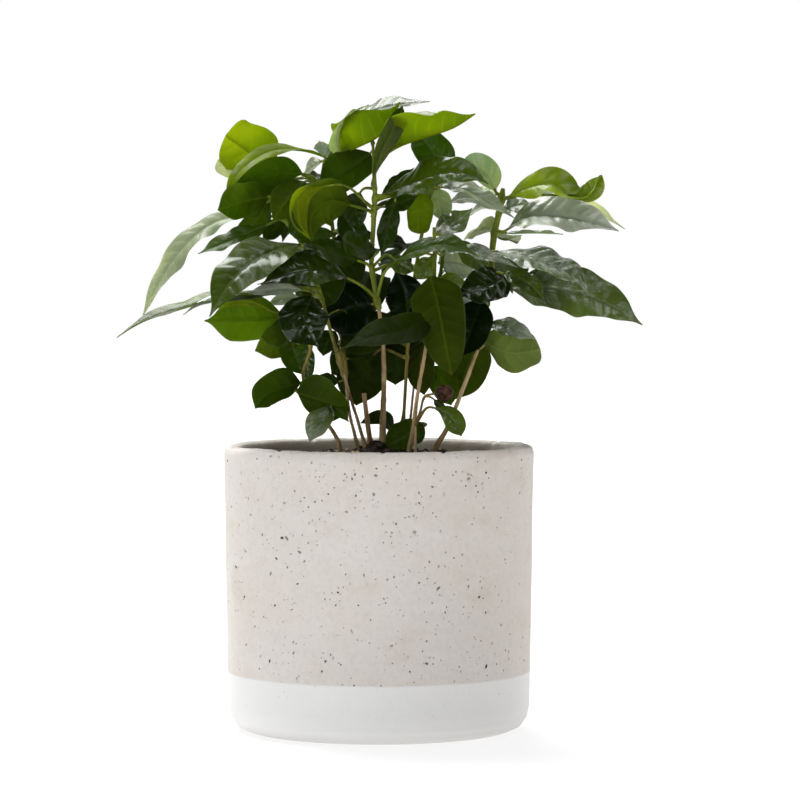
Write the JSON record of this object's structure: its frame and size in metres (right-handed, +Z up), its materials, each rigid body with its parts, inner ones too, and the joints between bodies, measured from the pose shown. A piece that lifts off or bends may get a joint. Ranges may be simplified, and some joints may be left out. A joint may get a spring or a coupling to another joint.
{
  "type": "potted coffee plant",
  "caption": "Young coffee plant with slender stems and glossy pointed leaves in a round concrete pot with a white dipped foot.",
  "frame": {"origin": "centre of the pot's flat underside", "axes": "+Z up along the pot's axis, -Y towards the viewer of the picture, +X to the viewer's right"},
  "size_m": [0.2514, 0.1685, 0.3045],
  "materials": {
    "concrete": "matt cast concrete, lower part dipped white",
    "dark_soil": "rough crumbly potting soil",
    "brown_bark": "matt bark",
    "main_green": "glossy leaves",
    "left_low_green": "glossy leaves",
    "left_back_green": "glossy leaves",
    "left_front_green": "glossy leaves",
    "middle_green": "glossy leaves",
    "right_front_green": "glossy leaves",
    "inner_right_green": "glossy leaves",
    "right_green": "glossy leaves",
    "seedling_green": "glossy leaves"
  },
  "bodies": {
    "root": {"pot": "concrete", "potting_soil": "dark_soil", "main_stem": "brown_bark", "left_low_stem": "brown_bark", "left_back_stem": "brown_bark", "left_front_stem": "brown_bark", "middle_stem": "brown_bark", "right_front_stem": "brown_bark", "inner_right_stem": "brown_bark", "right_stem": "brown_bark", "seedling_stem": "brown_bark", "cut_stub": "brown_bark", "main_leaves": "main_green", "left_low_leaves": "left_low_green", "left_back_leaves": "left_back_green", "left_front_leaves": "left_front_green", "middle_leaves": "middle_green", "right_front_leaves": "right_front_green", "inner_right_leaves": "inner_right_green", "right_leaves": "right_green", "seedling_leaves": "seedling_green"}
  },
  "joints": []
}
